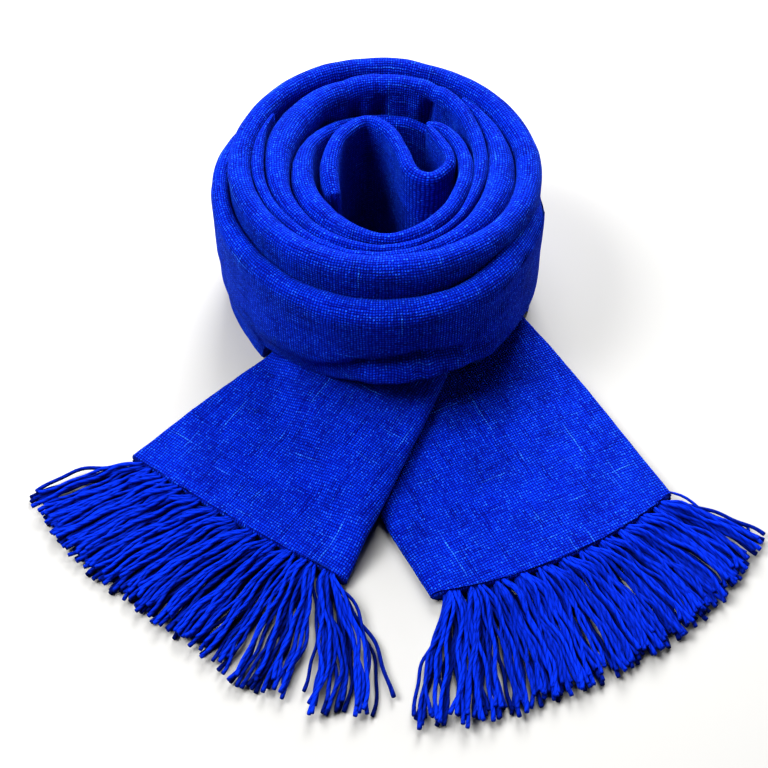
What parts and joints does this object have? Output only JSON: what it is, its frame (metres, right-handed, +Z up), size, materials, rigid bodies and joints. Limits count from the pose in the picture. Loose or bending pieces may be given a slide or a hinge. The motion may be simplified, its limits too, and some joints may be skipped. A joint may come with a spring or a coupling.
{
  "type": "rolled stole",
  "caption": "Fringed woven stole, folded lengthwise and wound into an upright roll with an open middle, its two ends laid out flat in front and fanned apart.",
  "frame": {"origin": "the middle of the part's footprint box, on the surface that it rests on", "axes": "+Z up along the axis of the roll, -Y to the front, where the two fringed ends lie, and +X to the right seen from the front"},
  "size_m": [0.29, 0.2866, 0.077],
  "materials": {
    "cloth": "plain weave with slubs, soft and matt with a faint nap",
    "fringe_yarn": "soft two-ply yarn, matt"
  },
  "bodies": {
    "root": {"outer_turn": "cloth", "second_turn": "cloth", "third_turn": "cloth", "fourth_turn": "cloth", "fifth_turn": "cloth", "centre_loop": "cloth", "left_tail": "cloth", "right_tail": "cloth", "left_fringe": "fringe_yarn", "right_fringe": "fringe_yarn"}
  },
  "joints": []
}
